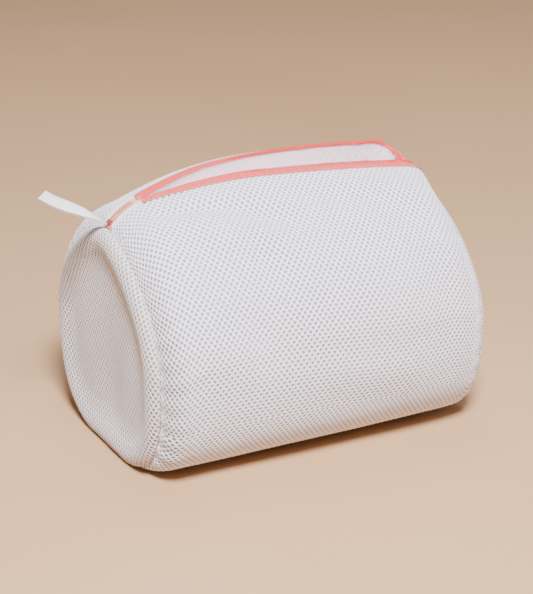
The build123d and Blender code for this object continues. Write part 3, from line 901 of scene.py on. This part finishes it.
def make_piece(name, shape, finish, nodes=(), body="bag", side=BACK):
    """One piece, mirrored for the front: its mesh, finish, motion and the CAD nodes it stands for."""
    verts, faces, *attributes = shape
    if side == FRONT:
        verts, faces = verts * np.array([1, -1, 1]), flipped(faces)
    obj = add_mesh(name, verts, faces, *attributes)
    material, slot = finish
    obj.data.materials.append(material)
    if nodes:
        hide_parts(*nodes)
    if body in BENDS:
        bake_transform(obj)
    else:
        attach(obj, body)


# --- build: cloth ---
def build_sleeve():
    """Two halves, each cut into an upper part by its lip and a lower part that stays with the bag."""
    for side, word in SIDES:
        points = sleeve_sheet(side)
        cut = int(round(points.shape[1] * CUT_SHARE))
        upper = mesh_cloth(Sheet(points[:, : cut + 1]), UPPER_ROWS, side == FRONT)
        lower = mesh_cloth(Sheet(points[:, cut:]), LOWER_ROWS, side == FRONT)
        nodes = ["body_panel"] if side == FRONT else []
        make_piece(f"{word}_mesh", upper, WHITE_MESH, nodes, f"{word}_lip")
        make_piece(f"{word}_base_mesh", lower, WHITE_MESH)


def build_end_panels():
    for side, word in ((-1, "left"), (1, "right")):
        panel = Panel(side)
        make_piece(f"{word}_panel_mesh", panel.cloth(), SHADED_PANEL_MESH, [f"{word}_end_panel"])
        make_piece(f"{word}_binding", binding(panel), BINDING, [f"{word}_seam_binding"])
        loop, outward = panel.loop(SEAM_THREAD_INSET, 900)
        loop[:, 0] = side * (HALF - 0.1 * MM)
        thread = dashes(loop, unit(outward), 0, 3.0 * MM, 0.6 * MM, SEAM_THREAD_RADIUS)
        make_piece(f"{word}_seam_stitches", thread, WHITE_THREAD, [f"{word}_seam_thread"])


def binding(panel, count=300, levels=14):
    """Tape bound over the seam allowance, with a soft fold at its free edge."""
    loop, outward = panel.loop(BINDING_INSET, count)
    outward = square_to(outward, unit(np.roll(loop, -1, axis=0) - np.roll(loop, 1, axis=0)))
    share = np.linspace(0, 1, levels)
    x = panel.side * (HALF + 0.5 * MM - (BINDING_REACH + 0.5 * MM) * share)
    sink = np.where(share > 0.85, (share - 0.85) * 6 * MM, 0)
    outer = [loop - outward * d + [at, 0, 0] for at, d in zip(x, sink)]
    inner = [loop - outward * (BINDING_THICK + d) + [at, 0, 0] for at, d in zip(x, sink * 0.2)]
    rows = outer + inner[::-1]
    verts = np.vstack(rows)
    verts[:, 2] = np.maximum(verts[:, 2], LOWEST)
    length = np.linalg.norm(np.diff(loop, axis=0, append=loop[:1]), axis=1).cumsum()
    level = np.repeat(np.arange(len(rows)) * 0.9 * MM, count)
    pattern = np.stack([np.tile(length, len(rows)), level], axis=1)
    return verts, flipped(ring_faces(len(rows), count), panel.side > 0), pattern


# --- build: zipper ---
def split_mouth(side):
    """Row ranges of the mouth's path: the closed stretch and the lip with its corner."""
    apex, end = (int(np.argmin(np.abs(MOUTH[side][:, 0] - x))) for x in (APEX_X, COIL_END_X))
    return slice(0, apex + 4), slice(apex + 3, end)


def build_zipper():
    """Coil, core, tape and stitches of each lip, with its corner; the front's stand for both corners."""
    for side, word in SIDES:

        def lip_piece(kind, shape, finish, node=None, corner=None):
            nodes = [f"{word}_{node}"] * bool(node) + [corner] * (bool(corner) and side == FRONT)
            make_piece(f"{word}_{kind}", shape, finish, nodes, f"{word}_lip", side)

        rows = split_mouth(side)[1]
        points, outward = MOUTH[side][rows], MOUTH_OUT[side][rows]
        lip_piece("spiral", wound(points, outward, COIL_RADIUS), COIL, "coil", "corner_coils")
        lip_piece("core", tube(points, CORE_RADIUS, outward), CORD, "coil_cord")
        out, up = path_frames(points, outward)
        row = points + out * 4.6 * MM + up * 0.70 * MM
        stitches = dashes(row, out, 0.1 * MM, 2.2 * MM, 0.9 * MM, 0.2 * MM)
        lip_piece("stitches", stitches, CORAL_THREAD, "topstitch")
        points, outward = points[::2], outward[::2]
        width = np.interp(points[:, 1], [1.8 * MM, 7 * MM], [0.25, 1.0])
        sections = [tape_section(3.4 + 2.5 * w, 1.4 + 3.6 * w, -2.6 - 9.0 * w) for w in width]
        out, up = path_frames(points, outward)
        up = unit(up * 0.55 + np.array([0, 0, 0.45]))
        lip_piece("tape", swept(points, out, up, sections), LIP_TAPE, "zip_tape", "corner_tapes")
        row = points + out * 3.4 * MM - up * 5.0 * MM
        lip_piece("tape_stitches", dashes(row, -out, 0.1 * MM, 2.2 * MM, 0.8 * MM, 0.22 * MM), CORAL_THREAD)


def tape_section(band, drop_out, drop_down):
    """Bent tape: a crowned band over the mesh's edge, round the coil's foot, then hanging in the mouth."""
    foot = TAPE_FOOT
    centre = [(band, 0.30)]
    for t in (0.93, 0.8, 0.6, 0.4, 0.22, 0.1):
        crown = 0.78 * math.sin(math.pi * t**0.8) ** 0.5 * (1 - 0.25 * t)
        centre.append((foot + (band - foot) * t, crown))
    centre += [(foot, -0.3), (foot, -1.1), (foot + 0.1, -1.9)]
    for t in np.linspace(0, 1, 8)[1:]:
        x = foot + 0.1 + (drop_out - foot - 0.1) * t + 0.5 * math.sin(math.pi * t)
        centre.append((x, -1.9 + (drop_down + 1.9) * t))
    centre = np.array(centre)
    tangent = unit(np.gradient(centre, axis=0))
    aside = np.stack([tangent[:, 1], -tangent[:, 0]], axis=1) * TAPE_HALF_THICK
    return np.vstack([centre + aside, (centre - aside)[::-1]]) * MM


def build_closed_stretch():
    """Coils, tapes, hems and stitches of the stretch that never opens."""
    section = np.array([(4.6, -0.35), (0.6, 0.0), (0.6, -0.5), (4.6, -0.75)]) * MM
    kinds = {
        "closed_spirals": (CLOSED_COIL, ["closed_end_coils"]),
        "closed_tapes": (TAPE, ["closed_end_tapes"]),
        "closed_hems": (BINDING, []),
        "closed_stitches": (WHITE_THREAD, []),
    }
    made = {name: [] for name in kinds}
    for side, _ in SIDES:
        rows = split_mouth(side)[0]
        points, outward, edge = MOUTH[side][rows], MOUTH_OUT[side][rows], HEM[side][rows]
        out, up = path_frames(points, outward)
        row = edge + out * 0.9 * MM + up * 0.95 * MM
        strip = swept((edge + out * 0.4 * MM)[::2], out[::2], up[::2], rounded_strip(2.6 * MM, 1.9 * MM))
        shapes = (
            wound(points, outward, CLOSED_COIL_RADIUS),
            swept(points[::2], out[::2], up[::2], section),
            strip,
            dashes(row, out, 0.1 * MM, 2.4 * MM, 0.9 * MM, 0.26 * MM),
        )
        for parts, (verts, faces, pattern) in zip(made.values(), shapes):
            parts.append((verts * np.array([1, side, 1]), flipped(faces, side == FRONT), pattern))
    for name, (finish, nodes) in kinds.items():
        make_piece(name, join_parts(made[name]), finish, nodes)


def build_tacks():
    """Bar tacks: a zigzag of thread across both coils."""
    path = MOUTH[BACK]
    for name, node, near_x, finish in (
        ("apex_bar", "apex_tack", -83.6, CORAL_THREAD),
        ("left_end_bar", "left_end_tack", -101.6, DARK_THREAD),
        ("right_end_bar", "right_end_tack", 102.0, DARK_THREAD),
    ):
        i = int(np.argmin(np.abs(path[:, 0] - near_x * MM)))
        along = unit((path[min(i + 4, len(path) - 1)] - path[max(i - 4, 0)]) * [1, 0, 1])
        up = unit(np.cross(along, (0.0, 1.0, 0.0)))
        up = up if up[2] > 0 else -up
        points = []
        for k in range(TACK_PASSES):
            for t in np.linspace(-1, 1, 12):
                across = t * TACK_WIDTH / 2 * (1 if k % 2 else -1)
                lift = math.cos(t * math.pi / 2) ** 0.5 * 0.7 * MM if abs(t) < 1 else 0.0
                step = (k + (t + 1) / 2 - TACK_PASSES / 2) * TACK_PITCH
                points.append(path[i] * [1, 0, 1] + along * step + [0, across, 0] + up * (TACK_RISE + lift))
        make_piece(name, tube(np.array(points), TACK_WIRE, np.tile(up, (len(points), 1))), finish, [node])


# --- build: slider, pull and label; the first two are drawn in millimetres about the coil's centre line ---
def on_slider(shape):
    """Carries a shape to the slider's open place."""
    verts, faces, pattern = shape
    slope = math.asin((SLIDER_X - CREST_X) / LEFT_RADIUS)
    c, s = math.cos(slope), math.sin(slope)
    x, y, z = verts.T * MM
    verts = np.stack([SLIDER_X + x * c + z * s, y, path_z(SLIDER_X) - x * s + z * c], axis=1)
    return verts, faces, pattern * MM


def slab(outline, low, high, bevel):
    """Solid plate between two heights with rounded edges, from a convex outline."""
    centre = outline.mean(axis=0)
    span = np.linalg.norm(outline - centre, axis=1, keepdims=True)
    rings = [(1 - math.sin(t), low + bevel * (1 - math.cos(t))) for t in np.linspace(0, math.pi / 2, 4)]
    rings += [(shrink, high - (z - low)) for shrink, z in rings[::-1]]
    rows = []
    for shrink, z in rings:
        flat = centre + (outline - centre) * (1 - shrink * bevel / span)
        rows.append(np.column_stack([flat, np.full(len(flat), z)]))
    verts = np.vstack(rows)
    return verts, capped_faces(len(rings), len(outline)), verts[:, :2]


def round_outline(corners, radius, steps=6):
    """Convex outline with its corners rounded."""
    corners = np.array(corners)
    out = []
    for i, corner in enumerate(corners):
        a = corner + unit(corners[i - 1] - corner) * radius
        b = corner + unit(corners[(i + 1) % len(corners)] - corner) * radius
        for t in np.linspace(0, 1, steps):
            out.append((1 - t) ** 2 * a + 2 * t * (1 - t) * corner + t * t * b)
    return np.array(out)


def build_slider():
    plate = [(-4.3, -2.75), (-1.7, -3.8), (4.3, -2.8), (4.3, 2.8), (-1.7, 3.8), (-4.3, 2.75)]
    plate = round_outline(plate, 1.0)
    wedge = round_outline([(-4.2, -0.35), (-1.7, -0.35), (-1.7, 0.35), (-4.2, 0.35)], 0.2)
    plates = [slab(plate, 1.5, 2.4, 0.3), slab(plate, -3.9, -3.1, 0.3), slab(wedge, -3.2, 1.6, 0.05)]
    make_piece("slider_shell", on_slider(join_parts(plates)), ENAMEL, ["slider_body"], "slider")
    arch_x = [-1.9, -1.9, -1.5, -0.6, 1.0, 2.6, 3.4, 3.7, 3.7]
    arch_z = [2.2, 3.2, 3.9, 4.25, 4.35, 4.25, 3.9, 3.2, 2.2]
    line = curve_through(np.stack([arch_x, np.zeros(9), arch_z], axis=1), 40)
    out, up = path_frames(line, np.tile([0.0, 1.0, 0.0], (len(line), 1)))
    arch = swept(line, out, up, rounded_strip(1.3, 0.6))
    make_piece("slider_arch", on_slider(arch), ENAMEL, ["slider_bail"], "slider")


def reach_from(middle, outline, turn):
    """Distance from a middle point to an outline in each direction."""
    arm = outline - middle
    angle = np.arctan2(arm[:, 1], arm[:, 0])
    order = np.argsort(angle)
    return np.interp(turn, angle[order], np.hypot(*arm.T)[order], period=2 * math.pi)


def build_pull():
    """Tab with an eye at its root, and the pin under the arch."""
    middle, turn = np.array([1.7, 0.0]), np.linspace(-math.pi, math.pi, 72, endpoint=False)
    outer = round_outline([(-0.4, -2.2), (10.6, -1.7), (10.6, 1.7), (-0.4, 2.2)], 1.2, 8)
    eye = round_outline([(0.45, -1.3), (2.9, -1.3), (2.9, 1.3), (0.45, 1.3)], 0.7, 8)
    near, far = reach_from(middle, eye, turn), reach_from(middle, outer, turn)
    direction = np.stack([np.cos(turn), np.sin(turn)], axis=1)
    rim = ((0, 0.22), (0.06, 0.38), (0.94, 0.38), (1, 0.22))
    rows = []
    for share, z in rim + tuple((share, -z) for share, z in rim[::-1]):
        flat = middle + direction * (near + (far - near) * share)[:, None]
        rows.append(np.column_stack([flat, np.full(len(flat), z)]))
    tab = np.vstack(rows)
    pin = np.stack([np.zeros(9), np.linspace(-1.9, 1.9, 9), np.zeros(9)], axis=1)
    pin, pin_faces, _ = tube(pin, 0.42, np.tile([1.0, 0.0, 0.0], (9, 1)), 12)
    parts = [(tab, ring_faces(len(rows), len(turn)), tab[:, :2]), (pin, pin_faces, pin[:, :2])]
    verts, faces, pattern = join_parts(parts)
    blade = on_slider((verts + [1.2, 0.0, 3.1], faces, pattern))
    make_piece("pull_blade", blade, ENAMEL, ["pull_tab"], "pull")


def build_label():
    """Folded ribbon: two layers joined at the tip's cut, rising to the left and curling a little."""
    along, across = 90, 26
    gt, gs = np.meshgrid(np.linspace(0, 1, along), np.linspace(-1, 1, across), indexing="ij")
    eased_in = np.clip(gt / 0.4, 0, 1)
    turn = (LABEL_TWIST * (3 * eased_in**2 - 2 * eased_in**3))[..., None]
    level, stand = np.array([0.0, 1.0, 0.0]), np.array([math.sin(LABEL_RISE), 0.0, math.cos(LABEL_RISE)])
    wide = np.cos(turn) * level + np.sin(turn) * stand
    face = np.cos(turn) * stand - np.sin(turn) * level
    run = gt * LABEL_LENGTH - gs * LABEL_WIDTH * 0.30 * gt**6
    half = LABEL_WIDTH / 2 * (0.5 + 0.5 * np.clip(gt / 0.6, 0, 1) ** 1.2)
    curl = (1.1 * np.sin(gt * 5.4 + 0.4) - 1.0 * gs * gs * (0.4 + 0.6 * gt)) * MM
    faces = flipped(grid_faces(along, across))
    count = along * across
    rim = list(range(across)) + [r * across + across - 1 for r in range(1, along)]
    rim += range(count - 2, count - across - 1, -1)
    rim += range(count - 2 * across, 0, -across)
    edge = [(a, b, b + count, a + count) for a, b in zip(rim, rim[1:] + rim[:1])]
    under = [tuple(i + count for i in face) for face in flipped(faces)]
    pattern = np.stack([run, gs * half], -1).reshape(-1, 2)
    parts = []
    for layer in (-1, 1):
        gap = layer * (0.26 + 0.45 * np.sin(math.pi * gt) ** 2 * (1 - 0.3 * gs * gs)) * MM
        top = LABEL_FOOT + LABEL_AHEAD * (run + 0.9 * MM)[..., None] + wide * (gs * half)[..., None]
        top = (top + face * (curl + gap)[..., None]).reshape(-1, 3)
        low = top - face.reshape(-1, 3) * 0.22 * MM
        parts.append((np.vstack([top, low]), faces + under + edge, np.vstack([pattern, pattern])))
    make_piece("label_ribbon", join_parts(parts), RIBBON, ["care_label"], "label")


# --- stage ---
def build_sweep():
    """Pale floor that curves up into a wall."""
    front, back, rise, radius, half_width = -2.2, 3.2, 2.4, 1.4, 3.0
    line = [(front, 0.0)] + [(y, 0.0) for y in np.linspace(-1.6, back - radius, 8)[:-1]]
    for a in np.linspace(0, math.pi / 2, 24):
        line.append((back - radius + radius * math.sin(a), radius * (1 - math.cos(a))))
    line.append((back, rise))
    xs = np.linspace(-half_width, half_width, 4)
    verts = [(x, y, z) for y, z in line for x in xs]
    sweep = add_mesh("studio_sweep", verts, flipped(grid_faces(len(line), len(xs))))
    sweep.rotation_euler = (0, 0, math.radians(-YAW))
    sweep.data.materials.append(paper("studio_paper", tint((204, 166, 126)), tint((188, 148, 108))))


def place_turned(name, data, place, back):
    """Links a lamp or camera that looks away from its back direction."""
    obj = bpy.data.objects.new(name, data)
    obj.location = place
    obj.rotation_mode = "QUATERNION"
    obj.rotation_quaternion = (-back).to_track_quat("-Z", "Y")
    bpy.context.scene.collection.objects.link(obj)
    return obj


def build_lights():
    for name, place, aim, size, power, colour in (
        ("key_light", (-0.42, -1.05, 1.35), (0, 0, 0.08), 0.42, 96.0, (0.965, 0.955, 1.0)),
        ("fill_light", (1.4, -0.5, 0.7), (0, 0, 0.08), 1.4, 3.5, (0.93, 0.92, 1.0)),
        ("top_light", (0.2, 0.45, 1.6), (0, 0, 0.08), 0.8, 8.0, (0.98, 0.96, 1.0)),
        ("mouth_light", (0.0, -0.02, 0.04), (0, 0.02, 0.16), 0.10, 0.42, (1.0, 0.96, 0.99)),
    ):
        lamp = bpy.data.lights.new(name, "AREA")
        lamp.shape, lamp.size, lamp.energy, lamp.color = "DISK", size, power, colour
        place_turned(name, lamp, place, Vector(place) - Vector(aim))
    world = bpy.data.worlds.new("studio")
    world.use_nodes = True
    background = world.node_tree.nodes["Background"].inputs
    background["Color"].default_value = tint((236, 230, 226))
    background["Strength"].default_value = 0.22
    bpy.context.scene.world = world


def build_camera():
    yaw, lift = math.radians(-YAW), math.radians(LIFT)
    back = Vector((math.sin(yaw) * math.cos(lift), -math.cos(yaw) * math.cos(lift), math.sin(lift)))
    lens = bpy.data.cameras.new("camera")
    lens.sensor_width, lens.sensor_fit, lens.lens = 36.0, "AUTO", 120.9
    lens.shift_x, lens.shift_y = 0.005, -0.0103
    bpy.context.scene.camera = place_turned("camera", lens, Vector(LOOK_AT) + back * DISTANCE, back)


build_sleeve()
build_end_panels()
build_zipper()
build_closed_stretch()
build_tacks()
build_slider()
build_pull()
build_label()
build_sweep()
build_lights()
build_camera()
